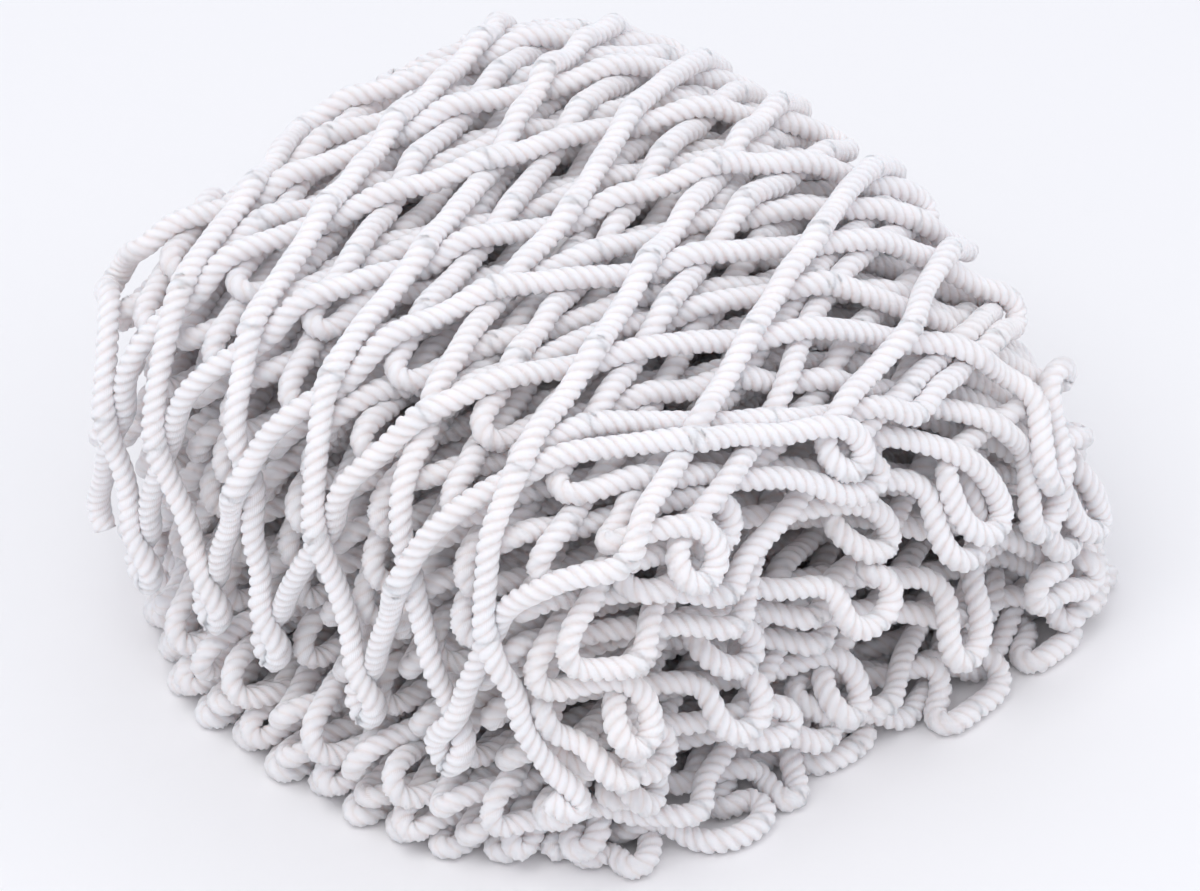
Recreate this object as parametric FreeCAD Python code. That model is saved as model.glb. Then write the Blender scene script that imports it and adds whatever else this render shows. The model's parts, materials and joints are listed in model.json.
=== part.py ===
"""Cargo climbing net, folded into a pile.

The net is one sheet of knotted diamond mesh.  It is folded to and fro ten
layers high, and its last layer wraps down over one side of the pile.  Every
course of mesh is one length of rope, and the bights of neighbouring courses
hook through each other at the knots.  Units are millimetres, +Z is up, +X
runs along the layers and +Y runs along the courses.
"""
import FreeCAD, Part
import math
import os

# Rope and mesh.
ROPE_DIAMETER = 10.6
MESHES_ACROSS = 6
HALF_MESH = 27.5
LEVEL = 7.2
LEVEL_IN_WRAP = 8.6
WRAP_COURSES = 5
BIGHT_HALF_WIDTH = 11.0
BIGHT_REACH = 6.3
TAIL = 22.0

# Folds of the sheet.
LAYER_PITCH = 28.0
FOLD_RADIUS = LAYER_PITCH / 2.0
BOTTOM_LAYER_Z = 13.0
FOLD_X = 168.0
LOWER_PACK_STEP = 45.0
SHOULDER_INSET = 32.0
WRAP_X = -211.0
WRAP_RADIUS = 75.0
FREE_EDGE_X = -203.0
WRAP_END_Z = 119.0

# How many courses lie between one fold and the next.
COURSES_TO_FOLD = [5.5, 6, 6, 5, 5, 5, 5, 5, 5]
COURSES_IN_WRAP = 6.5

# The pile's slow shape: a dome, a spread towards +X and a small wander.
DOME_HEIGHT = 30.0
DOME_HALF_X = 207.0
DOME_HALF_Y = 250.0
SPREAD = 0.08
WANDER = 5.0
WANDER_RATE = 0.55

# Drawing of the rope.
FILLET_SHARE = 0.45
SHARP_TURN = math.radians(63)
KNOT_BEND_RADIUS = 7.5
FOLD_STEP = math.radians(60)
SMALLEST_TURN = math.radians(0.6)
PROBE = 0.02


def fold_centre(number):
    """Return the axis (x, z) of the fold between layers number and number + 1."""
    z = BOTTOM_LAYER_Z + LAYER_PITCH * number + FOLD_RADIUS
    if number % 2 == 0:
        return FOLD_X, z
    if number == 1:
        return -FOLD_X - LOWER_PACK_STEP, z
    if number == 7:
        return -FOLD_X + SHOULDER_INSET, z
    return -FOLD_X, z


def line_piece(start, end):
    """Return a straight piece of the sheet's section as (length, place)."""
    dx, dz = end[0] - start[0], end[1] - start[1]
    length = math.hypot(dx, dz)
    return length, lambda s: (start[0] + dx * s / length, start[1] + dz * s / length)


def arc_piece(centre, radius, start_angle, sweep):
    """Return a round piece of the sheet's section as (length, place)."""
    turn = sweep / (abs(sweep) * radius)

    def place(s):
        angle = start_angle + turn * s
        return centre[0] + radius * math.cos(angle), centre[1] + radius * math.sin(angle)

    return abs(sweep) * radius, place


def sheet_section():
    """Return the section's pieces, and the run and course number at each fold."""
    pieces, stations = [], [(0.0, 0.0)]
    here = (FREE_EDGE_X, BOTTOM_LAYER_Z)
    run, course = 0.0, 0.0
    for number, courses in enumerate(COURSES_TO_FOLD):
        centre = fold_centre(number)
        side = 1 if number % 2 == 0 else -1
        pieces.append(line_piece(here, (centre[0], here[1])))
        pieces.append(arc_piece(centre, FOLD_RADIUS, -math.pi / 2, side * math.pi))
        run += pieces[-2][0] + pieces[-1][0]
        course += courses
        stations.append((course, run - pieces[-1][0] / 2))
        here = (centre[0], centre[1] + FOLD_RADIUS)
    shoulder = (WRAP_X + WRAP_RADIUS, here[1] - WRAP_RADIUS)
    pieces.append(line_piece(here, (shoulder[0], here[1])))
    pieces.append(arc_piece(shoulder, WRAP_RADIUS, math.pi / 2, math.pi / 2))
    pieces.append(line_piece((WRAP_X, shoulder[1]), (WRAP_X, WRAP_END_Z)))
    run += sum(piece[0] for piece in pieces[-3:])
    stations.append((course + COURSES_IN_WRAP, run))
    return pieces, stations


PIECES, STATIONS = sheet_section()
COURSES = int(round(STATIONS[-1][0]))


def run_at(course):
    """Return the distance along the section at a course number."""
    for (c0, s0), (c1, s1) in zip(STATIONS, STATIONS[1:]):
        if course <= c1:
            break
    return s0 + (s1 - s0) * (course - c0) / (c1 - c0)


def section_place(run):
    """Return the section's (x, z) at a distance along it."""
    run = max(run, 0.0)
    for length, place in PIECES:
        if run <= length:
            return place(run)
        run -= length
    return PIECES[-1][1](PIECES[-1][0] + run)


def level_at(course):
    """Return how far the ropes lie from the middle of the sheet."""
    return LEVEL_IN_WRAP if course > COURSES - WRAP_COURSES else LEVEL


def hump(value, half_width):
    """Return a smooth hump, 1 in the middle and 0 from half_width outwards."""
    return math.cos(math.pi / 2 * min(abs(value) / half_width, 1.0)) ** 2


def sheet_point(course, across):
    """Return the middle of the sheet at a course number and a half-mesh number."""
    x, z = section_place(run_at(course))
    spread = 1.0 + SPREAD * 0.5 * (1.0 + math.tanh(x / 160.0))
    y = across * HALF_MESH * spread + WANDER * math.sin(WANDER_RATE * course)
    rise = DOME_HEIGHT * (z / (LAYER_PITCH * 10)) * hump(x, DOME_HALF_X) * hump(y, DOME_HALF_Y)
    return FreeCAD.Vector(x, y, z + rise)


def sheet_axes(course, across):
    """Return unit vectors along the course, across it, and square to the sheet."""
    along = sheet_point(course, across + PROBE) - sheet_point(course, across - PROBE)
    up = sheet_point(course + PROBE, across) - sheet_point(course - PROBE, across)
    along.normalize()
    normal = up.cross(along)
    normal.normalize()
    return along, along.cross(normal), normal


def offset_point(course, across, aside, ahead, level):
    """Return a point placed from the sheet by three distances."""
    along, up, normal = sheet_axes(course, across)
    return sheet_point(course, across) + along * aside + up * ahead + normal * level


def fold_points(number, course, across, level):
    """Return the corners that carry a bar round one fold, in order of course."""
    inward = 1 if number % 2 == 0 else -1
    radius = (FOLD_RADIUS - inward * level) / math.cos(FOLD_STEP / 2)
    corner_level = inward * (FOLD_RADIUS - radius)
    (c0, s0), (c1, s1), (c2, s2) = STATIONS[number:number + 3]
    before, after = (c1 - c0) / (s1 - s0), (c2 - c1) / (s2 - s1)
    reach = FOLD_STEP * FOLD_RADIUS
    points = []
    for shift in (-reach * before, 0.0, reach * after):
        place = course + shift
        points.append(offset_point(place, across(place), 0.0, 0.0, corner_level))
    return points


def bar_points(low, high, across_low, across_high, level):
    """Return the corners inside one bar, from course low to course high."""
    def across(course):
        return across_low + (across_high - across_low) * (course - low) / (high - low)

    for number in range(len(COURSES_TO_FOLD)):
        fold = STATIONS[number + 1][0]
        if low < fold < high:
            return fold_points(number, fold, across, level)
    if section_place(run_at(high))[0] < WRAP_X + WRAP_RADIUS and low > STATIONS[-2][0]:
        thirds = (low + (high - low) / 3, low + (high - low) * 2 / 3)
        return [offset_point(c, across(c), 0.0, 0.0, level) for c in thirds]
    return []


def knot_points(course, across, is_upper):
    """Return the two corners of a bight, in order along the course."""
    ahead = BIGHT_REACH if is_upper else -BIGHT_REACH
    level = level_at(course) if is_upper else -level_at(course)
    return [
        offset_point(course, across, -BIGHT_HALF_WIDTH, ahead, level),
        offset_point(course, across, BIGHT_HALF_WIDTH, ahead, -level),
    ]


def tail_point(course, across, is_upper, is_last):
    """Return the end of a course's rope, just outside its last knot."""
    ahead = BIGHT_REACH if is_upper else -BIGHT_REACH
    level = level_at(course) if is_upper != is_last else -level_at(course)
    return offset_point(course, across, TAIL if is_last else -TAIL, ahead, level)


def course_route(number):
    """Return the corners of one course's rope, from selvedge to selvedge."""
    last = 2 * MESHES_ACROSS
    level = level_at(number + 1)
    points = []
    for vertex in range(last + 1):
        is_upper = (vertex + number) % 2 == 1
        course, across = number + is_upper, vertex - MESHES_ACROSS
        if vertex == 0:
            points.append(tail_point(course, across, is_upper, False))
        points += knot_points(course, across, is_upper)
        if vertex == last:
            points.append(tail_point(course, across, is_upper, True))
            break
        if is_upper:
            points += reversed(bar_points(number, number + 1, across + 1, across, -level))
        else:
            points += bar_points(number, number + 1, across, across + 1, level)
    return points


def rounded_corner(before, corner, after):
    """Return a corner's tangent arc as its start, middle, end and radius."""
    back, ahead = before - corner, after - corner
    turn = math.pi - back.getAngle(ahead)
    if turn < SMALLEST_TURN:
        return None
    trim = FILLET_SHARE * min(back.Length, ahead.Length)
    radius = trim / math.tan(turn / 2)
    if turn > SHARP_TURN:
        radius = min(radius, KNOT_BEND_RADIUS)
        trim = radius * math.tan(turn / 2)
    back.normalize()
    ahead.normalize()
    bisector = back + ahead
    bisector.normalize()
    gap = radius / math.cos(turn / 2) - radius
    return corner + back * trim, corner + bisector * gap, corner + ahead * trim, radius


def rope_path(points):
    """Return straight runs joined by tangent arcs, and the smallest radius."""
    edges, here, smallest = [], points[0], 1e9
    for before, corner, after in zip(points, points[1:], points[2:]):
        arc = rounded_corner(before, corner, after)
        if arc is None:
            continue
        start, middle, end, radius = arc
        edges.append(Part.LineSegment(here, start).toShape())
        edges.append(Part.Arc(start, middle, end).toShape())
        here, smallest = end, min(smallest, radius)
    edges.append(Part.LineSegment(here, points[-1]).toShape())
    return Part.Wire(edges), smallest


def rope_solid(points):
    """Return one rope as a round bar along its route, with its smallest radius."""
    path, smallest = rope_path(points)
    ring = Part.makeCircle(ROPE_DIAMETER / 2, points[0], points[1] - points[0])
    solid = path.makePipeShell([Part.Wire(ring)], True, False)
    return solid, path.Length, smallest


def move_to_origin(solids):
    """Return the solids with the origin at the middle of their box's bottom."""
    box = FreeCAD.BoundBox()
    for solid in solids:
        box.add(solid.optimalBoundingBox(False))
    shift = FreeCAD.Vector(-box.Center.x, -box.Center.y, -box.ZMin)
    for solid in solids:
        solid.translate(shift)
    return shift, box


def main():
    """Build every course, report its checks and write its file."""
    os.makedirs("parts", exist_ok=True)
    section = math.pi * ROPE_DIAMETER ** 2 / 4
    solids, total = [], 0.0
    for number in range(COURSES):
        solid, length, smallest = rope_solid(course_route(number))
        fill = solid.Volume / (section * length)
        print("course %d length %.1f least radius %.2f volume ratio %.4f valid %s %s"
              % (number + 1, length, smallest, fill, solid.isValid(), solid.ShapeType))
        solids.append(solid)
        total += length
    shift, box = move_to_origin(solids)
    for number, solid in enumerate(solids):
        solid.exportStep("parts/mesh_rope_%02d.step" % (number + 1))
    print("rope drawn %.1f mm, box %.2f %.2f %.2f" % (total, box.XLength, box.YLength, box.ZLength))
    print("shift", shift)
    for number in (2, 8):
        x, z = fold_centre(number)
        print("fold axis", number, x + shift.x, z + shift.z)


main()
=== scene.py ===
"""Cargo climbing net: the looks of the folded pile of rope.

The net is twelve ropes that run slantwise to and fro between its two edges.
They are laid along the folded sheet, settled under their own weight with
contact between them, and given the round of three twisted strands.  The pieces
are cut at the knots, so that each one is a course of mesh.  Lengths are worked
out in millimetres and put into the meshes in metres.
"""
import sys

import json
import logging
import math
from dataclasses import dataclass, field
from enum import Enum
from itertools import product

import bpy
import numpy as np
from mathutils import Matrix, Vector


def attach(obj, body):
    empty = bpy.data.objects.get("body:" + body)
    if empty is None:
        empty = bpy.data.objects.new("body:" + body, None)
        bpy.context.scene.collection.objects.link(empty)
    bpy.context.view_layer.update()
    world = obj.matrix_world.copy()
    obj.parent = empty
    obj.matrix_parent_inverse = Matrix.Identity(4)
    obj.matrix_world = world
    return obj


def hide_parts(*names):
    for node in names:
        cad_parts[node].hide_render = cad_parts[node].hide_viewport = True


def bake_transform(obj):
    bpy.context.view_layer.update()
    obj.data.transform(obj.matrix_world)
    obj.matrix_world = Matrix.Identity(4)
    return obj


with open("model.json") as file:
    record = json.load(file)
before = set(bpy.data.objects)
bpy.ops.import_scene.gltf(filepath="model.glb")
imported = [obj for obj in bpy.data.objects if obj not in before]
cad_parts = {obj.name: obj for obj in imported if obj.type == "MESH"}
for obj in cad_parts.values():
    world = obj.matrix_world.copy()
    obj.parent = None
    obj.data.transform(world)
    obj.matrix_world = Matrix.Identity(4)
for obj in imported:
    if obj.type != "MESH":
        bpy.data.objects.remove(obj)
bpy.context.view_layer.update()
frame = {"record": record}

LOG = logging.getLogger("net")
MM = 0.001
Spot = tuple[float, float, float]
HIDDEN_SIZES = (0.985, 0.90, 0.55)
FOLD_INSET = 0.23
ROPE_MAP = "RopeMap"


# ---------------------------------------------------------------- the sheet


@dataclass(frozen=True)
class Arc:
    """A round piece of the sheet's section."""

    centre: tuple[float, float]
    radius: float
    start: float
    sweep: float

    @property
    def length(self) -> float:
        """Return the arc's length."""
        return abs(self.sweep) * self.radius

    def place(self, run: np.ndarray) -> np.ndarray:
        """Return points at distances along the arc: centre plus radius at an angle."""
        angle = self.start + np.sign(self.sweep) * run / self.radius
        ring = np.stack([np.cos(angle), np.sin(angle)], axis=-1)
        return np.array(self.centre) + self.radius * ring


@dataclass(frozen=True)
class Line:
    """A straight piece of the sheet's section."""

    start: tuple[float, float]
    end: tuple[float, float]

    @property
    def length(self) -> float:
        """Return the line's length."""
        return math.hypot(self.end[0] - self.start[0], self.end[1] - self.start[1])

    def place(self, run: np.ndarray) -> np.ndarray:
        """Return points at distances along the line."""
        direction = (np.array(self.end) - np.array(self.start)) / self.length
        return np.array(self.start) + run[..., None] * direction


@dataclass
class FoldedSheet:
    """The net's middle surface, folded twenty-one layers high, in millimetres."""

    half_mesh: float = 29.2
    meshes_across: int = 6
    course_height: float = 76.0
    layers: int = 21
    lower_layers: int = 8
    ledge_layers: int = 5
    pitch: float = 12.3
    bottom: float = 7.0
    fold_x: float = 176.0
    lower_step: float = 36.0
    near_taper: float = 0.13
    flap_fold_x: float = 165.0
    start_x: float = 150.0
    wrap_x: float = -210.0
    wrap_radius: float = 80.0
    wrap_end_z: float = 104.0
    half_length: float = 190.0
    half_width: float = 185.0
    wrap_courses: float = 6.5
    pressing: tuple[Spot, Spot] = ((0.0, 204.0, 262.0), (0.0, 219.0, 258.0))
    unevenness: float = 6.0
    lower_fold_out: float = 12.0
    next_fold_in: float = 14.0
    sway: float = 9.0
    slew: float = 0.05
    probe: float = 0.02
    shift: tuple[float, float] = (22.5, -1.3)
    seed: int = 5

    def __post_init__(self) -> None:
        """Lay out the section's pieces, and the course and run at each fold."""
        random = np.random.default_rng(self.seed)
        jitter = random.uniform(-self.unevenness, self.unevenness, self.layers)
        self.pieces: list[Arc | Line] = []
        courses, runs = [0.0], [0.0]
        here = (self.start_x, self.bottom)
        for number in range(self.layers - 1):
            centre = self.fold_centre(number, jitter[number])
            side = 1 if number % 2 else -1
            self.pieces.append(Line(here, (centre[0], here[1])))
            fold = Arc(centre, self.pitch / 2, -math.pi / 2, side * math.pi)
            self.pieces.append(fold)
            runs.append(sum(p.length for p in self.pieces) - fold.length / 2)
            count = (runs[-1] - runs[-2]) / self.course_height
            courses.append(courses[-1] + (round(count) - (0.0 if number else 0.5)))
            here = (centre[0], centre[1] + self.pitch / 2)
        shoulder = (self.wrap_x + self.wrap_radius, here[1] - self.wrap_radius)
        self.pieces.append(Line(here, (shoulder[0], here[1])))
        self.pieces.append(Arc(shoulder, self.wrap_radius, math.pi / 2, math.pi / 2))
        self.pieces.append(Line((self.wrap_x, shoulder[1]), (self.wrap_x, self.wrap_end_z)))
        runs.append(sum(p.length for p in self.pieces))
        courses.append(courses[-1] + self.wrap_courses)
        self.courses = np.array(courses)
        self.runs = np.array(runs)

    @property
    def count(self) -> int:
        """Return the number of courses."""
        return int(round(self.courses[-1]))

    def fold_centre(self, number: int, jitter: float) -> tuple[float, float]:
        """Return the axis of the fold above a layer.

        The folds at +X stand in a little more with each layer, and those at -X
        lie inside the round of the wrap, except the ledge's, which stick out.

        Args:
            number: the layer, from 0 at the bottom.
            jitter: how far this fold is off its even place.

        Returns:
            The axis's x and z.
        """
        z = self.bottom + self.pitch * (number + 0.5)
        high = (number / (self.layers - 2)) ** 2
        if number == self.layers - 2:
            return self.flap_fold_x, z
        if number % 2:
            low = 0.0
            if number < self.lower_layers - 1:
                low = self.lower_fold_out
            elif number == self.lower_layers + 1:
                low = -self.next_fold_in
            return self.fold_x * (1.0 - self.near_taper * high) + low + jitter, z
        if number < self.ledge_layers:
            return -self.fold_x - self.lower_step + 0.5 * jitter, z
        shoulder = self.bottom + self.pitch * (self.layers - 1) - self.wrap_radius
        inner = self.wrap_radius - 1.1 * self.pitch
        rise = min(max(z - shoulder, 0.0), 0.93 * inner)
        reach = math.sqrt(inner ** 2 - rise ** 2) - 0.5 * self.pitch
        return self.wrap_x + self.wrap_radius - reach + abs(jitter), z

    def section(self, run: np.ndarray) -> np.ndarray:
        """Return the section's (x, z) at distances along it."""
        out = np.zeros(run.shape + (2,))
        start = 0.0
        last = len(self.pieces) - 1
        for index, piece in enumerate(self.pieces):
            low = run >= start if index else np.full(run.shape, True)
            high = run < start + piece.length if index < last else np.full(run.shape, True)
            mask = low & high
            out[mask] = piece.place(run[mask] - start)
            start += piece.length
        return out

    def layer(self, course: np.ndarray) -> np.ndarray:
        """Return how far up the pile a course lies, in layers, smoothly."""
        return np.interp(course, self.courses, np.arange(len(self.courses)))

    def heap(self, x: np.ndarray, y: np.ndarray) -> np.ndarray:
        """Return the share of full height: flat on top, falling to +X and to -Y.

        It is 1.15 in the middle, less powers of how far out the place is.

        Args:
            x: places along the layers.
            y: places across the net.

        Returns:
            The shares, same shape.
        """
        a = np.clip(x / self.half_length, -1.1, 1.1)
        b = np.clip(y / self.half_width, -1.1, 1.1)
        front, back = np.maximum(-b, 0.0), np.maximum(b, 0.0)
        right, left = np.maximum(a, 0.0), np.maximum(-a, 0.0)
        top = 1.15 + 0.03 * a + 0.03 * b - 0.16 * back ** 3 - 0.24 * front ** 3
        return top - 0.27 * right ** 3 - 0.05 * left ** 3 - 0.14 * (right * front) ** 1.5

    def corner(self, x: np.ndarray, y: np.ndarray, way: float) -> np.ndarray:
        """Return how near a place is to a corner at -X: the cube of its shares of both.

        Args:
            x: places along the layers.
            y: places across the net.
            way: -1.0 for the corner at -Y, 1.0 for the one at +Y.

        Returns:
            The nearness, from 0 to about 1.
        """
        a = np.clip(-x / self.half_length, 0.0, 1.1)
        b = np.clip(way * y / self.half_width, 0.0, 1.1)
        return (a * b) ** 3

    def point(self, course: np.ndarray, across: np.ndarray) -> np.ndarray:
        """Return the sheet's middle: the section spread, swaying and heaped.

        Each layer slides and turns a little against the one below, as sines of
        its number.  The corners at -X spread out, the lower ones most.

        Args:
            course: course numbers, any shape.
            across: half-mesh numbers from the middle, same shape.

        Returns:
            Points in millimetres, with a last axis of 3.
        """
        plane = self.section(np.interp(course, self.courses, self.runs))
        x, z = plane[..., 0], plane[..., 1]
        layer = self.layer(course)
        under = 1.0 - np.clip(layer - self.layers + 2.2, 0.0, 1.0)
        wide = 1.0 + 0.05 * np.tanh(x / 160.0)
        y = across * self.half_mesh * wide - self.slew * x
        turn = 0.03 * x * np.sin(1.7 * layer)
        y = y + self.sway * np.sin(2.3 * layer + 0.5) * under + turn
        x = x + 0.04 * y * np.sin(2.9 * layer + 1.0)
        low = np.clip(1.5 - layer / self.lower_layers, 0.0, 1.0)
        near, far = self.corner(x, y, -1.0), self.corner(x, y, 1.0)
        x = x + 40.0 * near * (0.5 + low) + 40.0 * far * (0.3 + low)
        y = y + 22.0 * near * (0.5 + low) - 16.0 * far
        z = np.interp(z, *self.pressing) * self.heap(x, y)
        return np.stack([x + self.shift[0], y + self.shift[1], z], axis=-1)

    def place(
        self,
        course: np.ndarray,
        across: np.ndarray,
        aside: np.ndarray,
        ahead: np.ndarray,
        level: np.ndarray,
    ) -> np.ndarray:
        """Return points set off from the sheet along its own three axes.

        Args:
            course: course numbers.
            across: half-mesh numbers.
            aside: distance along the course.
            ahead: distance along the sheet, towards the next course.
            level: distance square to the sheet.

        Returns:
            Points in millimetres.
        """
        near, far = across - self.probe, across + self.probe
        along = unit(self.point(course, far) - self.point(course, near))
        near, far = course - self.probe, course + self.probe
        up = self.point(far, across) - self.point(near, across)
        normal = unit(np.cross(up, along))
        up = np.cross(along, normal)
        moved = self.point(course, across) + along * aside[..., None]
        return moved + up * ahead[..., None] + normal * level[..., None]


def unit(vectors: np.ndarray) -> np.ndarray:
    """Return vectors scaled to length 1."""
    return vectors / np.maximum(np.linalg.norm(vectors, axis=-1, keepdims=True), 1e-9)


# ---------------------------------------------------------------- the ropes


class Edge(Enum):
    """How a rope turns back at the net's edge."""

    PLAIN = 0
    BIGHT = 1
    RING = 2


@dataclass
class Chain:
    """One rope as beads.

    Each bead has the knot that it lies in, or -1, how well it is held, and how
    many knots it has passed.
    """

    beads: np.ndarray
    knots: np.ndarray
    hold: np.ndarray
    passed: np.ndarray


@dataclass
class SlantLayer:
    """Lays each rope slantwise over the net, to and fro between its two edges."""

    sheet: FoldedSheet
    bead: float = 4.5
    level: float = 5.6
    knot_reach: float = 15.0
    over_share: float = 0.72
    plain_share: float = 0.5
    bight_share: float = 0.88
    edge_lean: float = 44.0
    knot_length: float = 0.24
    hem_loop: tuple[float, float, float] = (9.0, 13.0, 23.0)
    steps: int = 12
    looseness: float = 0.72
    row_numbers: int = 100
    seed: int = 7

    def __post_init__(self) -> None:
        """Draw the irregularities of every knot."""
        random = np.random.default_rng(self.seed)
        vertices = 2 * self.sheet.meshes_across + 1
        self.jog = random.normal(0.0, 1.0, (self.sheet.count + 1, vertices, 2)) * (0.05, 0.14)
        self.chance = random.uniform(0.0, 1.0, (self.sheet.count + 1, vertices, 4))

    def knot_at(self, start: int, course: int) -> tuple[int, int]:
        """Return a rope's knot on a course, counted from -Y, and its heading there.

        A knot's number goes up and down between the edges like a triangle wave.
        """
        last = 2 * self.sheet.meshes_across
        step = (course + start) % (2 * last)
        return (step, 1) if step < last else (2 * last - step, -1)

    def corners(self, start: int) -> np.ndarray:
        """Return rows of course, across, aside, ahead, level, knots passed."""
        last = 2 * self.sheet.meshes_across
        rows: list[list[float]] = []
        for course in range(self.sheet.count + 1):
            knot, heading = self.knot_at(start, course)
            jog = self.jog[course, knot]
            here = [course + jog[0], knot - self.sheet.meshes_across + jog[1]]
            over = -heading if self.chance[course, knot, 3] < self.over_share else heading
            if knot in (0, last):
                turn = self.edge(course, knot, 1 if knot else -1)
            elif course in (0, self.sheet.count):
                turn = self.hem(1 if course else -1, heading, over)
            else:
                turn = [[0.0, 0.0, -over * self.level]]
            for index, offsets in enumerate(turn):
                share = index / max(len(turn) - 1, 1) - 0.5
                passed = course + self.knot_length * share * (len(turn) > 1)
                rows.append(here + offsets + [passed])
        return np.array(rows)

    def edge(self, course: int, knot: int, way: int) -> list[list[float]]:
        """Return the offsets of a turn at the net's edge.

        A bight goes out and back round two wide corners, and leans to one side.
        A ring crosses its own neck.  Both are biggest at -Y, towards +X.

        Args:
            course: the course of the turn.
            knot: the knot, counted from -Y.
            way: -1 at the -Y edge, 1 at the +Y edge.

        Returns:
            Rows of aside, ahead and level.
        """
        length, width, lean, draw = self.chance[course, knot]
        across = np.float64(knot - self.sheet.meshes_across)
        place = self.sheet.point(np.float64(course), across)
        size = 0.62 + 0.38 * float(place[0] > 40.0 and way < 0)
        kind = Edge.PLAIN
        if draw >= self.plain_share:
            kind = Edge.BIGHT if draw < self.bight_share else Edge.RING
        lean = self.edge_lean * (lean - 0.5)
        if kind is Edge.PLAIN:
            return [[way * 1.0, -9.0, 0.0], [way * 8.0, 0.0, 0.0], [way * 1.0, 9.0, 0.0]]
        length, width = size * (24.0 + 20.0 * length), 14.0 + 10.0 * width
        if kind is Edge.RING:
            width = -0.7 * width
        neck = 10.0 if width > 0 else -6.0
        level = 0.0 if width > 0 else 5.0
        return [
            [way * 2.0, -neck, level],
            [way * length * 0.5, -width + 0.5 * lean, level * 0.5],
            [way * length * 0.95, -0.6 * width + lean, 0.0],
            [way * length * 0.95, 0.6 * width + lean, 0.0],
            [way * length * 0.5, width + 0.5 * lean, -level * 0.5],
            [way * 2.0, neck, -level],
        ]

    def hem(self, way: int, heading: int, over: int) -> list[list[float]]:
        """Return the offsets of half a loop at the net's first or last course.

        Args:
            way: -1 at the first course, 1 at the last.
            heading: which way across the net the rope runs.
            over: which side of the sheet the rope lies on at its knot, 1 or -1.

        Returns:
            Rows of aside, ahead and level, from the knot outwards at the last course.
        """
        wide, shoulder, end = self.hem_loop
        rows = [
            [0.0, 0.0, -over * self.level],
            [way * heading * wide, way * shoulder, 0.0],
            [0.0, way * end, 0.0],
        ]
        return rows if way > 0 else rows[::-1]

    def chain(self, start: int) -> Chain:
        """Return one rope's beads, evenly spaced along it.

        Between knots a bar sinks towards the middle of the sheet, and a bead
        far out in an edge loop is held less.

        Args:
            start: where the rope stands on the first course.

        Returns:
            The rope.
        """
        rows = self.corners(start)
        share = np.linspace(0.0, 1.0, self.steps, endpoint=False)[None, :, None]
        dense = rows[:-1, None, :] * (1 - share) + rows[1:, None, :] * share
        dense = np.concatenate([dense.reshape(-1, 6), rows[-1:]])
        from_knot = np.abs((dense[:, 5] + 0.5) % 1.0 - 0.5) * 2.0
        dense[:, 4] *= 1.0 - 0.7 * np.clip(from_knot * 1.3, 0.0, 1.0)
        laid = self.sheet.place(*dense.T[:5])
        rows = resample_rows(laid, dense, self.bead)
        beyond = np.clip((np.abs(rows[:, 2]) - 8.0) / 12.0, 0.0, 1.0)
        hold = 1.0 - self.looseness * beyond
        return Chain(resample(laid, self.bead), self.nearest_knot(rows), hold, rows[:, 5])

    def nearest_knot(self, rows: np.ndarray) -> np.ndarray:
        """Return the number of the knot that each bead lies in, or -1."""
        course, across = np.round(rows[:, 0]), np.round(rows[:, 1])
        ahead = (rows[:, 0] - course) * self.sheet.course_height + rows[:, 3]
        aside = (rows[:, 1] - across) * self.sheet.half_mesh + rows[:, 2]
        knot = (course * self.row_numbers + across + self.row_numbers // 2).astype(int)
        return np.where(np.hypot(ahead, aside) < self.knot_reach, knot, -1)


def resample_rows(points: np.ndarray, rows: np.ndarray, spacing: float) -> np.ndarray:
    """Return rows read at the places where resample puts its points."""
    gaps = np.linalg.norm(np.diff(points, axis=0), axis=1)
    run = np.concatenate([[0.0], np.cumsum(gaps)])
    count = max(int(round(run[-1] / spacing)), 2)
    even = np.linspace(0.0, run[-1], count + 1)
    return np.stack([np.interp(even, run, column) for column in rows.T], axis=1)


def resample(points: np.ndarray, spacing: float) -> np.ndarray:
    """Return points spread evenly along a polyline, about spacing apart."""
    return resample_rows(points, points, spacing)


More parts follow.
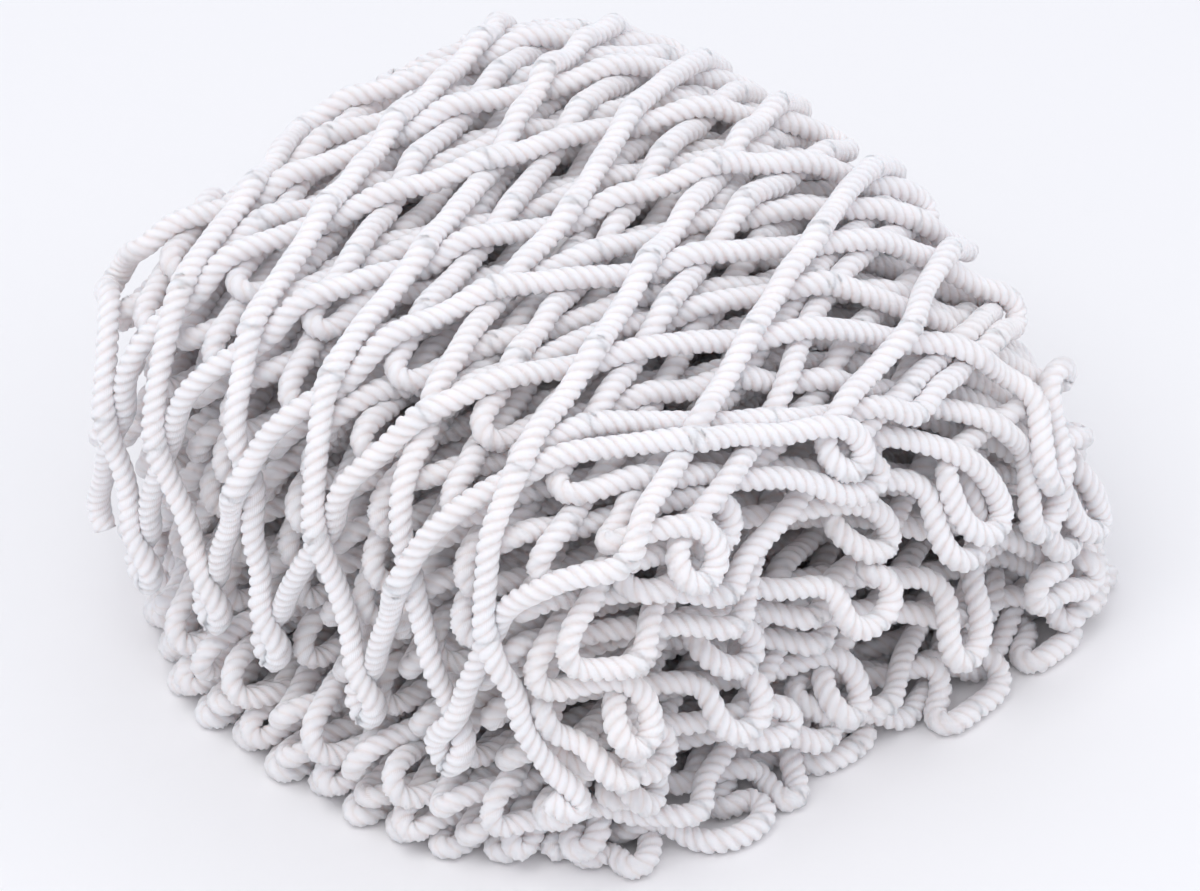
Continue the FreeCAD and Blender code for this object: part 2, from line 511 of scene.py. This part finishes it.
@dataclass
class Settling:
    """Settles chains of beads under gravity, with contact, stretch and bending.

    Each step moves every bead down a little and back a little towards where it
    was laid.  Then links regain their length, bends are eased, and beads that
    are closer than the rope's thickness are pushed apart.
    """

    chains: list[Chain]
    thickness: float = 11.5
    knotted: float = 8.5
    skip: int = 6
    steps: int = 240
    gravity: float = 0.28
    hold: tuple[float, float, float] = (0.008, 0.008, 0.005)
    stiffness: float = 0.22
    slack: float = 0.06
    slack_beads: float = 20.0
    push_gain: float = 1.6
    longest_push: float = 1.5
    search: float = 3.5
    search_every: int = 5
    rest_from: float = 0.7
    rest_gravity: float = 0.25
    room: tuple[Spot, Spot] = ((-210.0, -215.0, 6.8), (222.0, 214.0, 330.0))
    seed: int = 11

    def __post_init__(self) -> None:
        """Join the chains into one array of beads."""
        self.sizes = [len(c.beads) for c in self.chains]
        self.place = np.concatenate([c.beads for c in self.chains])
        self.knots = np.concatenate([c.knots for c in self.chains])
        self.laid = self.place.copy()
        hold = np.concatenate([c.hold for c in self.chains])
        self.held = hold[:, None] * np.array(self.hold)
        self.chain_of = np.repeat(np.arange(len(self.sizes)), self.sizes)
        self.order = np.concatenate([np.arange(size) for size in self.sizes])
        first = np.nonzero(self.chain_of[1:] == self.chain_of[:-1])[0]
        self.links = np.stack([first, first + 1], axis=1)
        gap = np.linalg.norm(self.place[first + 1] - self.place[first], axis=1)
        waves = int(len(gap) // self.slack_beads) + 2
        wave = np.random.default_rng(self.seed).uniform(0.0, 1.0, waves)
        extra = np.interp(np.arange(len(gap)) / self.slack_beads, np.arange(waves), wave)
        self.rest = gap * (1.0 + self.slack * extra)
        middle = np.nonzero(self.chain_of[2:] == self.chain_of[:-2])[0]
        self.bends = np.stack([middle, middle + 1, middle + 2], axis=1)
        self.welds = self.find_welds()

    def find_welds(self) -> np.ndarray:
        """Return pairs of chain ends that lie together and are one rope."""
        starts = np.cumsum([0] + self.sizes)
        pairs = []
        for ends in (starts[:-1], starts[1:] - 1):
            line = self.place[ends][:, None] - self.place[ends][None]
            first, second = np.nonzero(np.triu(np.linalg.norm(line, axis=-1) < 1.0, 1))
            pairs.append(np.stack([ends[first], ends[second]], axis=1))
        return np.concatenate(pairs)

    def push(self, first: np.ndarray, second: np.ndarray, change: np.ndarray) -> None:
        """Move pairs of beads apart, by the mean of what each bead's pairs ask.

        Args:
            first: the beads that move by -change.
            second: the beads that move by +change.
            change: a vector for each pair.
        """
        size = len(self.place)
        count = np.bincount(first, minlength=size) + np.bincount(second, minlength=size)
        count = np.maximum(count, 1)
        for axis in range(3):
            part = change[:, axis]
            total = np.bincount(second, part, size) - np.bincount(first, part, size)
            move = self.push_gain * total / (count + 0.6)
            self.place[:, axis] += np.clip(move, -self.longest_push, self.longest_push)

    def stretch(self) -> None:
        """Give links their length back, even links first and then odd ones."""
        for parity in (0, 1):
            links, rest = self.links[parity::2], self.rest[parity::2]
            line = self.place[links[:, 1]] - self.place[links[:, 0]]
            length = np.linalg.norm(line, axis=1)
            change = (0.5 * (length - rest) / np.maximum(length, 1e-6))[:, None] * line
            self.place[links[:, 0]] += change
            self.place[links[:, 1]] -= change
        first, second = self.welds.T
        middle = 0.5 * (self.place[first] + self.place[second])
        self.place[first] = middle
        self.place[second] = middle

    def ease_bends(self) -> None:
        """Move each bead towards the middle of its neighbours, and them away."""
        a, b, c = self.bends.T
        gap = 0.5 * (self.place[a] + self.place[c]) - self.place[b]
        move = np.zeros_like(self.place)
        move[b] += self.stiffness * gap
        move[a] -= 0.5 * self.stiffness * gap
        move[c] -= 0.5 * self.stiffness * gap
        self.place += move

    def neighbours(self, reach: float) -> tuple[np.ndarray, np.ndarray]:
        """Return all pairs of beads in the same cell or in touching cells.

        The space is cut into cells as wide as reach, and the beads are sorted by
        cell, so that a cell's beads are a run of the sorted list.

        Args:
            reach: the cells' size.

        Returns:
            The first and the second bead of each pair.
        """
        cell = np.floor(self.place / reach).astype(np.int64)
        cell -= cell.min(axis=0) - 1
        size = cell.max(axis=0) + 2
        key = (cell[:, 0] * size[1] + cell[:, 1]) * size[2] + cell[:, 2]
        order = np.argsort(key, kind="stable")
        ranked = key[order]
        firsts, seconds = [], []
        for dx, dy, dz in product((-1, 0, 1), repeat=3):
            step = (dx * size[1] + dy) * size[2] + dz
            if step < 0:
                continue
            low = np.searchsorted(ranked, key + step, "left")
            many = np.searchsorted(ranked, key + step, "right") - low
            first = np.repeat(np.arange(len(key)), many)
            offset = np.arange(len(first)) - np.repeat(np.cumsum(many) - many, many)
            second = order[np.repeat(low, many) + offset]
            keep = first < second if step == 0 else np.full(len(first), True)
            firsts.append(first[keep])
            seconds.append(second[keep])
        return np.concatenate(firsts), np.concatenate(seconds)

    def find_pairs(self, reach: float) -> None:
        """Find the beads within reach of each other, and how far apart they belong."""
        first, second = self.neighbours(reach)
        close = np.linalg.norm(self.place[first] - self.place[second], axis=1) < reach
        same = self.chain_of[first] == self.chain_of[second]
        near = same & (np.abs(self.order[first] - self.order[second]) < self.skip)
        keep = close & ~near & ~self.joined(first, second)
        self.pairs = first[keep], second[keep]
        first, second = self.pairs
        inside = (self.knots[first] == self.knots[second]) & (self.knots[first] >= 0)
        self.reach = np.where(inside, self.knotted, self.thickness)

    def joined(self, first: np.ndarray, second: np.ndarray) -> np.ndarray:
        """Return which pairs are near each other along a rope, round a weld.

        Args:
            first: the first bead of each pair.
            second: the second bead of each pair.

        Returns:
            True for each such pair.
        """
        to_end = np.full(len(self.place), self.skip)
        group = np.full(len(self.place), -1)
        for index, (a, b) in enumerate(self.welds):
            for end in (a, b):
                reach = np.arange(self.skip)
                inward = end + reach if self.order[end] == 0 else end - reach
                to_end[inward] = reach
                group[inward] = index
        together = (group[first] == group[second]) & (group[first] >= 0)
        return together & (to_end[first] + to_end[second] < self.skip)

    def separate(self) -> None:
        """Push apart beads that are closer than the rope's thickness."""
        first, second = self.pairs
        line = self.place[second] - self.place[first]
        length = np.linalg.norm(line, axis=1)
        close = length < self.reach
        short = (self.reach - length)[close]
        first, second, line, length = first[close], second[close], line[close], length[close]
        change = (0.5 * short / np.maximum(length, 0.5))[:, None] * line
        self.push(first, second, change)

    def run(self) -> list[np.ndarray]:
        """Settle the pile and return each chain's beads."""
        for step in range(self.steps):
            if step % self.search_every == 0:
                self.find_pairs(self.thickness + self.search)
            fade = 1.0 if step < self.steps * self.rest_from else self.rest_gravity
            self.place[:, 2] -= self.gravity * fade
            self.place += self.held * (self.laid - self.place)
            self.ease_bends()
            for _ in range(2):
                self.stretch()
                self.separate()
            self.place = np.clip(self.place, self.room[0], self.room[1])
        first, second = self.pairs
        gap = np.linalg.norm(self.place[first] - self.place[second], axis=1)
        deep = np.sum(gap < self.reach - 2.0)
        LOG.info("settled, closest %.2f mm, %d of %d pairs 2 mm too close",
                 gap.min(), deep, len(gap))
        return np.split(self.place, np.cumsum(self.sizes)[:-1])


# ---------------------------------------------------------------- rope round


@dataclass
class StrandedRope:
    """Turns a chain of beads into a rope of three twisted strands."""

    radius: float = 6.05
    lay: float = 18.6
    groove: float = 0.19
    swelling: float = 0.12
    knot_half: float = 0.11
    points: int = 12
    ring_gap: float = 2.1

    def around(self) -> np.ndarray:
        """Return the angles of a ring's points."""
        return np.arange(self.points) / self.points * 2 * np.pi

    def outline(self) -> np.ndarray:
        """Return the section's radii: three round strands with grooves between.

        A strand's crown is the absolute cosine of one and a half turns.
        """
        crown = np.abs(np.cos(1.5 * self.around()))
        return self.radius * (1.0 - self.groove * (1.0 - crown ** 0.6))

    def smooth(self, beads: np.ndarray, passed: np.ndarray) -> tuple[np.ndarray, np.ndarray]:
        """Return a smooth line through the beads, as a cubic at even rings.

        Args:
            beads: the rope's line.
            passed: how many knots each bead has passed.

        Returns:
            The rings' middles, and how many knots each ring has passed.
        """
        before, after = 2 * beads[:1] - beads[1:2], 2 * beads[-1:] - beads[-2:-1]
        padded = np.concatenate([before, beads, after])
        eased = padded.copy()
        eased[1:-1] = 0.25 * padded[:-2] + 0.5 * padded[1:-1] + 0.25 * padded[2:]
        eased[1], eased[-2] = beads[0], beads[-1]
        parts = 4
        share = np.linspace(0.0, 1.0, parts, endpoint=False)[None, :, None]
        a, b, c, d = (eased[k:len(eased) - 3 + k][:, None, :] for k in range(4))
        fine = 0.5 * (2 * b + (c - a) * share + (2 * a - 5 * b + 4 * c - d) * share ** 2
                      + (3 * b - a - 3 * c + d) * share ** 3)
        fine = np.concatenate([fine.reshape(-1, 3), eased[-2:-1]])
        bead = np.arange(len(fine)) / parts
        knots = np.interp(bead, np.arange(len(passed)), passed)
        rows = resample_rows(fine, np.column_stack([fine, knots]), self.ring_gap)
        return rows[:, :3], rows[:, 3]

    def axes(self, line: np.ndarray) -> tuple[np.ndarray, np.ndarray]:
        """Return two axes across the line that turn with it and never twist.

        A rough normal is taken at each ring.  The angle that it makes with the
        normal carried over from the ring before is added up, and taken away.

        Args:
            line: the rings' middles.

        Returns:
            The first and the second axis at each ring.
        """
        tangent = unit(np.gradient(line, axis=0))
        least = np.argmin(np.abs(tangent), axis=1)
        rough = unit(np.cross(tangent, np.eye(3)[least]))
        side = np.cross(tangent, rough)
        turn = np.cross(tangent[:-1], tangent[1:])
        cosine = np.sum(tangent[:-1] * tangent[1:], axis=1)[:, None]
        carried = rough[:-1] * cosine + np.cross(turn, rough[:-1])
        carried += turn * (np.sum(turn * rough[:-1], axis=1)[:, None] / (1 + cosine))
        sine = np.sum(carried * side[1:], axis=1)
        slip = np.arctan2(sine, np.sum(carried * rough[1:], axis=1))
        angle = np.concatenate([[0.0], np.cumsum(slip)])[:, None]
        first = rough * np.cos(angle) + side * np.sin(angle)
        return first, np.cross(tangent, first)

    def tube(self, beads: np.ndarray, passed: np.ndarray, phase: float) -> "Tube":
        """Return the rope's rings, turned steadily by the lay.

        A ring's point is its middle, plus the section's radius along the two
        axes by the cosine and the sine of its angle.  A knot swells the rope by
        a bell curve of how far it is, in courses.

        Args:
            beads: the rope's line, in millimetres.
            passed: how many knots each bead has passed.
            phase: where the strands start, in radians.

        Returns:
            The tube, in metres, thicker where a knot is drawn tight.
        """
        line, passed = self.smooth(beads, passed)
        first, second = self.axes(line)
        run = np.arange(len(line)) * np.linalg.norm(np.diff(line, axis=0), axis=1).mean()
        turns = run / self.lay
        angle = phase + self.around()[None, :] + (turns * 2 * np.pi)[:, None]
        from_knot = np.abs((passed + 0.5) % 1.0 - 0.5)
        swell = 1.0 + self.swelling * np.exp(-((from_knot / self.knot_half) ** 2))
        radii = self.outline()[None, :] * swell[:, None]
        cosine, sine = np.cos(angle)[..., None], np.sin(angle)[..., None]
        ring = first[:, None, :] * cosine + second[:, None, :] * sine
        rings = (line[:, None, :] + ring * radii[..., None]) * MM
        return Tube(rings, line * MM, turns, passed)


@dataclass
class Tube:
    """A rope's rings of points, their middles, their turns of lay, and knots passed."""

    rings: np.ndarray
    middles: np.ndarray
    turns: np.ndarray
    passed: np.ndarray

    def bar(self, course: int, last: int) -> "Tube":
        """Return the part between two knots, with the hem loops at the net's ends.

        It goes on a little inside its neighbours, ever thinner, so that no end shows.

        Args:
            course: knots passed at the start.
            last: knots passed where the rope ends.

        Returns:
            The part as its own tube.
        """
        low, high = 0, len(self.passed) - 1
        if course:
            low = int(np.argmin(np.abs(self.passed - course)))
        if course + 1 < last:
            high = int(np.argmin(np.abs(self.passed - course - 1)))
        hidden = len(HIDDEN_SIZES)
        start, end = max(low - hidden, 0), min(high + hidden + 1, len(self.passed))
        size = np.ones(end - start)
        size[:low - start] = HIDDEN_SIZES[::-1][:low - start]
        size[high + 1 - start:] = HIDDEN_SIZES[:end - high - 1]
        cut = slice(start, end)
        middles = self.middles[cut]
        rings = middles[:, None] + (self.rings[cut] - middles[:, None]) * size[:, None, None]
        return Tube(rings, middles, self.turns[cut], self.passed[cut])


@dataclass
class Skin:
    """Joins tubes into one mesh of closed skins with a map that follows the rope."""

    points: list[np.ndarray] = field(default_factory=list)
    faces: list[np.ndarray] = field(default_factory=list)
    maps: list[np.ndarray] = field(default_factory=list)
    caps: list[np.ndarray] = field(default_factory=list)
    size: int = 0

    def add(self, tube: Tube) -> None:
        """Add one tube: quads between its rings, and a fan over each end.

        Args:
            tube: the tube.  Its map runs from 0 to 1 around, and by turns along.
        """
        count, m = tube.rings.shape[:2]
        i, j = np.meshgrid(np.arange(count - 1), np.arange(m), indexing="ij")
        k = (j + 1) % m
        quads = np.stack([i * m + j, i * m + k, (i + 1) * m + k, (i + 1) * m + j], axis=-1)
        near, far = tube.turns[i], tube.turns[i + 1]
        u = np.stack([j, j + 1, j + 1, j], axis=-1) / m
        v = np.stack([near, near, far, far], axis=-1)
        j = np.arange(m)
        end = (count - 1) * m
        start = np.stack([np.full(m, count * m), (j + 1) % m, j], axis=1)
        finish = np.stack([np.full(m, count * m + 1), end + j, end + (j + 1) % m], axis=1)
        self.points += [tube.rings.reshape(-1, 3), tube.middles[:1], tube.middles[-1:]]
        self.faces.append(quads.reshape(-1, 4) + self.size)
        self.maps.append(np.stack([u, v], axis=-1).reshape(-1, 2))
        self.caps += [start + self.size, finish + self.size]
        self.size += count * m + 2

    def mesh(self, name: str) -> bpy.types.Mesh:
        """Return the skins as one smooth mesh with its map."""
        points = np.concatenate(self.points).astype(np.float32)
        quads, caps = np.concatenate(self.faces), np.concatenate(self.caps)
        totals = np.concatenate([np.full(len(quads), 4), np.full(len(caps), 3)])
        loops = np.concatenate([quads.ravel(), caps.ravel()]).astype(np.int32)
        uv = np.concatenate([*self.maps, np.zeros((len(caps) * 3, 2))]).astype(np.float32)
        mesh = bpy.data.meshes.new(name)
        mesh.vertices.add(len(points))
        mesh.vertices.foreach_set("co", points.ravel())
        mesh.loops.add(len(loops))
        mesh.loops.foreach_set("vertex_index", loops)
        mesh.polygons.add(len(totals))
        mesh.polygons.foreach_set("loop_start", (np.cumsum(totals) - totals).astype(np.int32))
        mesh.update(calc_edges=True)
        layer = mesh.uv_layers.new(name=ROPE_MAP)
        layer.data.foreach_set("uv", uv.ravel())
        mesh.polygons.foreach_set("use_smooth", np.full(len(totals), True))
        mesh.validate()
        return mesh


# ---------------------------------------------------------------- materials


class Wire:
    """A shader value that can be used in Python expressions."""

    def __init__(self, tree: bpy.types.NodeTree, socket: bpy.types.NodeSocket) -> None:
        """Keep the tree and the socket."""
        self.tree = tree
        self.socket = socket

    def math(self, operation: str, *others: "Wire | float") -> "Wire":
        """Return this value put through a Math node.

        Args:
            operation: the Math node's operation.
            others: the node's other values.

        Returns:
            The result.
        """
        return make(self.tree, "ShaderNodeMath", {"operation": operation}, [self, *others])

    def __add__(self, other: "Wire | float") -> "Wire":
        """Return self + other."""
        return self.math("ADD", other)

    __radd__ = __add__

    def __mul__(self, other: "Wire | float") -> "Wire":
        """Return self * other."""
        return self.math("MULTIPLY", other)

    __rmul__ = __mul__

    def __sub__(self, other: "Wire | float") -> "Wire":
        """Return self - other."""
        return self.math("SUBTRACT", other)

    def __rsub__(self, other: float) -> "Wire":
        """Return other - self."""
        return make(self.tree, "ShaderNodeMath", {"operation": "SUBTRACT"}, [other, self])

    def __pow__(self, other: "Wire | float") -> "Wire":
        """Return self ** other."""
        return self.math("POWER", other)


def make(
    tree: bpy.types.NodeTree,
    kind: str,
    settings: dict,
    inputs: list | dict,
    output: int = 0,
) -> Wire:
    """Return an output of a new node.

    Args:
        tree: the node tree.
        kind: the node's type.
        settings: properties set first.
        inputs: values or Wires, as a list in socket order or a dict by socket.
        output: which output to return.

    Returns:
        The output as a Wire.
    """
    node = tree.nodes.new(kind)
    for key, value in settings.items():
        setattr(node, key, value)
    items = inputs.items() if isinstance(inputs, dict) else enumerate(inputs)
    for key, value in items:
        if isinstance(value, Wire):
            tree.links.new(value.socket, node.inputs[key])
        else:
            node.inputs[key].default_value = value
    return Wire(tree, node.outputs[output])


@dataclass(frozen=True)
class WhiteRope:
    """White hard-laid rope: yarn lines on the strands, and shade painted into the grooves
    between them as a darker, warmer colour.
    """

    crown: tuple[float, float, float] = (0.95, 0.915, 0.93)
    # painted shade: the darker warm colour of the grooves between strands, where shade falls
    groove: tuple[float, float, float] = (0.87, 0.80, 0.77)
    soiled: tuple[float, float, float] = (0.93, 0.88, 0.86)
    yarns: int = 33

    def build(self) -> bpy.types.Material:
        """Return the material."""
        material = bpy.data.materials.new("white_rope_strands")
        material.use_nodes = True
        tree = material.node_tree
        tree.nodes.clear()
        uv = make(tree, "ShaderNodeUVMap", {"uv_map": ROPE_MAP}, [])
        around = make(tree, "ShaderNodeSeparateXYZ", {}, [uv], 0)
        along = make(tree, "ShaderNodeSeparateXYZ", {}, [uv], 1)
        place = make(tree, "ShaderNodeTexCoord", {}, [], 3)
        strand = (around * (3 * math.pi)).math("COSINE").math("ABSOLUTE")
        # painted shade: mask of the grooves between strands
        groove = (1 - strand) ** 2.2
        yarn = ((around + along) * (2 * math.pi * self.yarns)).math("SINE")
        fluff = self.noise(place, 900.0, 3.0)
        patch = self.noise(place, 11.0, 2.0)
        soil = make(tree, "ShaderNodeMapRange", {}, [patch, 0.45, 0.75, 0.0, 0.6])
        base = self.blend(soil, (*self.crown, 1), (*self.soiled, 1))
        # painted shade: the grooves take the darker warm groove colour
        colour = self.blend(groove * 0.85, base, (*self.groove, 1))
        height = strand * 0.35 + yarn * 0.10 + fluff * 0.35
        relief = {"Strength": 0.55, "Distance": 0.0006, "Height": height}
        shader = make(tree, "ShaderNodeBsdfPrincipled", {}, {
            "Base Color": colour,
            "Roughness": 0.62 + fluff * 0.2,
            "Normal": make(tree, "ShaderNodeBump", {}, relief),
            "Sheen Weight": 0.25,
            "Sheen Roughness": 0.5,
            "Specular IOR Level": 0.30,
            "Subsurface Weight": 0.7,
            "Subsurface Radius": (1.0, 0.85, 0.8),
            "Subsurface Scale": 0.008,
        })
        output = tree.nodes.new("ShaderNodeOutputMaterial")
        tree.links.new(shader.socket, output.inputs[0])
        return material

    @staticmethod
    def noise(place: Wire, scale: float, detail: float) -> Wire:
        """Return soft noise over a place."""
        inputs = {"Vector": place, "Scale": scale, "Detail": detail}
        return make(place.tree, "ShaderNodeTexNoise", {}, inputs)

    @staticmethod
    def blend(factor: Wire, first: Wire | tuple, second: Wire | tuple) -> Wire:
        """Return two colours mixed by a factor, on the Mix node's colour sockets."""
        inputs = {0: factor, 6: first, 7: second}
        return make(factor.tree, "ShaderNodeMix", {"data_type": "RGBA"}, inputs, 2)


# ---------------------------------------------------------------- the net


class Pack(Enum):
    """The bodies of the pile."""

    LOWER = "lower_pack"
    UPPER = "upper_pack"
    FLAP = "top_flap"


@dataclass
class CargoNet:
    """The whole net: lays, settles and skins its ropes."""

    sheet: FoldedSheet = field(default_factory=FoldedSheet)
    quick_steps: int = 12
    phase_seed: int = 3

    def pack_of(self, name: str) -> Pack:
        """Return the body that a rope belongs to."""
        for pack in Pack:
            if name in frame["record"]["behaviour"]["bodies"][pack.value]:
                return pack
        raise KeyError(name)

    def build(self) -> list[bpy.types.Object]:
        """Return the ropes as pieces, one for each course, riding on its body; a course at a
        fold is one piece for each bar, left on no body.
        """
        layer = SlantLayer(self.sheet)
        starts = range(0, 4 * self.sheet.meshes_across, 2)
        chains = [layer.chain(start) for start in starts]
        length = sum(len(c.beads) for c in chains) * layer.bead * MM
        LOG.info("laid %d ropes, %d courses, %.1f m", len(chains), self.sheet.count, length)
        tubes = self.tubes(chains)
        material = WhiteRope().build()
        pieces = []
        for course, node in enumerate(self.nodes(self.sheet.count)):
            name = "rope_%02d" % (course + 1)
            bars = [tube.bar(course, self.sheet.count) for tube in tubes]
            joint = self.folding_joint(node)
            if not joint:
                piece = self.piece(name, node, bars, material)
                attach(piece, self.pack_of(node).value)
                pieces.append(piece)
                continue
            for number, bar in enumerate(bars, 1):
                piece = self.piece("%s_%02d" % (name, number), node, [bar], material)
                self.bend(piece, joint, bar)
                pieces.append(piece)
        LOG.info("faces %d", sum(len(p.data.polygons) for p in pieces))
        return pieces

    def tubes(self, chains: list[Chain]) -> list[Tube]:
        """Return the ropes settled and skinned, each with its strands turned by chance."""
        settling = Settling(chains)
        rope = StrandedRope()
        random = np.random.default_rng(self.phase_seed)
        phases = random.uniform(0.0, 2 * np.pi, len(chains))
        rows = zip(settling.run(), chains, phases)
        return [rope.tube(line, chain.passed, phase) for line, chain, phase in rows]

    @staticmethod
    def piece(
        name: str,
        node: str,
        bars: list[Tube],
        material: bpy.types.Material,
    ) -> bpy.types.Object:
        """Return bars of rope as one piece that stands for a CAD node.

        Args:
            name: the piece's name.
            node: the CAD node.
            bars: the ropes between two courses of knots.
            material: the finish.

        Returns:
            The piece.
        """
        skin = Skin()
        for bar in bars:
            skin.add(bar)
        mesh = skin.mesh(name)
        mesh.materials.append(material)
        piece = bpy.data.objects.new(name, mesh)
        bpy.context.scene.collection.objects.link(piece)
        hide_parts(node)
        return piece

    @staticmethod
    def folding_joint(node: str) -> dict | None:
        """Return the joint whose fold a node makes, if it makes one."""
        for joint in frame["record"]["behaviour"]["joints"]:
            if node in [entry["node"] for entry in joint.get("deforming_nodes", [])]:
                return joint
        return None

    def nodes(self, count: int) -> list[str]:
        """Return the CAD rope that each course stands for, in order up the pile.

        The two ropes of the folds keep to the folds.  The other courses are
        shared out evenly among their body's other ropes.

        Args:
            count: how many courses there are.

        Returns:
            The nodes' names.
        """
        behaviour = frame["record"]["behaviour"]
        folds = [joint["deforming_nodes"][0]["node"] for joint in behaviour["joints"]]
        groups = [sorted(behaviour["bodies"][pack.value]) for pack in Pack]
        turns = [int(self.sheet.courses[self.sheet.lower_layers]),
                 int(self.sheet.courses[self.sheet.layers - 1])]
        starts = [0, turns[0] + 1, turns[1] + 1, count]
        names: list[str] = []
        for group, low, high in zip(groups, starts, starts[1:]):
            plain = [name for name in group if name not in folds]
            own = high - low - (high - 1 in turns)
            names += [plain[index * len(plain) // own] for index in range(own)]
            names += [name for name in group if name in folds]
        return names

    @staticmethod
    def bend(piece: bpy.types.Object, joint: dict, bar: Tube) -> None:
        """Bake a bar's piece into world space; the bar is not bent with the fold.

        The bar slants across the net, so points a little in from its first knot
        below the fold and its last knot above it are worked out, but nothing uses them.

        Args:
            piece: the bar's piece.
            joint: the fold's joint. Not used.
            bar: the bar.
        """
        hidden = len(HIDDEN_SIZES)
        low, high = bar.middles[hidden], bar.middles[-1 - hidden]
        inset = FOLD_INSET * (high - low)
        tuple(low + inset)
        tuple(high - inset)
        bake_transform(piece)


# ---------------------------------------------------------------- the studio


@dataclass
class Studio:
    """Pale floor, soft light and a long lens."""

    azimuth: float = -47.0
    elevation: float = 38.0
    distance: float = 3.0
    fill: tuple[float, float, float, float] = (0.033, 0.971, 0.013, 0.982)
    aspect: float = 1200 / 891
    rounds: int = 6
    sensor: float = 36.0
    aim: Spot = (0.0, 0.0, 0.15)

    def direction(self) -> Vector:
        """Return the direction from the object to the camera."""
        a, e = math.radians(self.azimuth), math.radians(self.elevation)
        return Vector((math.sin(a) * math.cos(e), -math.cos(a) * math.cos(e), math.sin(e)))

    def camera(self, pieces: list[bpy.types.Object]) -> None:
        """Create the camera so that the pile fills its part of the frame.

        The pile's spread across the view and up it gives the width of the field,
        and its middle gives the aim.  A few rounds settle the two.

        Args:
            pieces: what has to fill the frame.
        """
        data = bpy.data.cameras.new("camera")
        obj = bpy.data.objects.new("camera", data)
        bpy.context.scene.collection.objects.link(obj)
        points = np.concatenate([self.points(piece) for piece in pieces])
        out = np.array(self.direction())
        right = unit(np.cross([0.0, 0.0, 1.0], out))
        up = np.cross(out, right)
        target = points.mean(axis=0)
        left, wide, top, tall = self.fill
        for _ in range(self.rounds):
            place = target + out * self.distance
            depth = -(points - place) @ out
            h, v = (points - place) @ right / depth, (points - place) @ up / depth
            width = max((h.max() - h.min()) / (wide - left),
                        (v.max() - v.min()) / (tall - top) * self.aspect)
            height = width / self.aspect
            middle_h = (h.max() + h.min()) / 2 - width * ((left + wide) / 2 - 0.5)
            middle_v = (v.max() + v.min()) / 2 + height * ((top + tall) / 2 - 0.5)
            target = target + (right * middle_h + up * middle_v) * self.distance
        data.sensor_width = self.sensor
        data.lens = self.sensor / width
        data.clip_end = 50.0
        obj.location = Vector(target) + self.direction() * self.distance
        obj.rotation_euler = (-self.direction()).to_track_quat("-Z", "Y").to_euler()
        bpy.context.scene.camera = obj
        LOG.info("lens %.1f, field %.4f", data.lens, width)

    @staticmethod
    def points(piece: bpy.types.Object) -> np.ndarray:
        """Return every seventh one of a piece's vertices."""
        flat = np.empty(len(piece.data.vertices) * 3, np.float32)
        piece.data.vertices.foreach_get("co", flat)
        return flat.reshape(-1, 3)[::7].astype(float)

    def floor(self) -> None:
        """Create the pale floor."""
        mesh = bpy.data.meshes.new("floor")
        size = 20.0
        corners = [(-size, -size, 0), (size, -size, 0), (size, size, 0), (-size, size, 0)]
        mesh.from_pydata(corners, [], [(0, 1, 2, 3)])
        material = bpy.data.materials.new("floor")
        material.use_nodes = True
        shader = material.node_tree.nodes["Principled BSDF"]
        shader.inputs["Base Color"].default_value = (0.92, 0.92, 0.92, 1)
        shader.inputs["Roughness"].default_value = 0.9
        mesh.materials.append(material)
        obj = bpy.data.objects.new("floor", mesh)
        bpy.context.scene.collection.objects.link(obj)

    def lights(self) -> None:
        """Create the soft lights: overcast sky, a broad key and a weak fill."""
        world = bpy.data.worlds.new("sky")
        world.use_nodes = True
        background = world.node_tree.nodes["Background"]
        background.inputs["Color"].default_value = (0.92, 0.93, 1.0, 1)
        background.inputs["Strength"].default_value = 0.86
        bpy.context.scene.world = world
        self.area("key", (-1.2, -0.2, 2.6), 1.6, 22.0)
        self.area("fill", (1.8, -1.6, 1.4), 1.8, 6.0)

    def area(self, name: str, place: Spot, size: float, power: float) -> None:
        """Create one area light that faces the pile.

        Args:
            name: the light's name.
            place: where it stands, in metres.
            size: its side, in metres.
            power: its power, in watts.
        """
        data = bpy.data.lights.new(name, "AREA")
        data.size = size
        data.energy = power
        obj = bpy.data.objects.new(name, data)
        obj.location = place
        facing = Vector(self.aim) - Vector(place)
        obj.rotation_euler = facing.to_track_quat("-Z", "Y").to_euler()
        bpy.context.scene.collection.objects.link(obj)


def main() -> None:
    """Build the net and its studio, and note the sizes."""
    logging.basicConfig(level=logging.INFO, format="%(name)s %(message)s", stream=sys.stdout)
    net = CargoNet()
    pieces = net.build()
    studio = Studio()
    studio.floor()
    studio.lights()
    studio.camera(pieces)
    bpy.context.scene.view_settings.view_transform = "Standard"


if __name__ == "__main__":
    main()
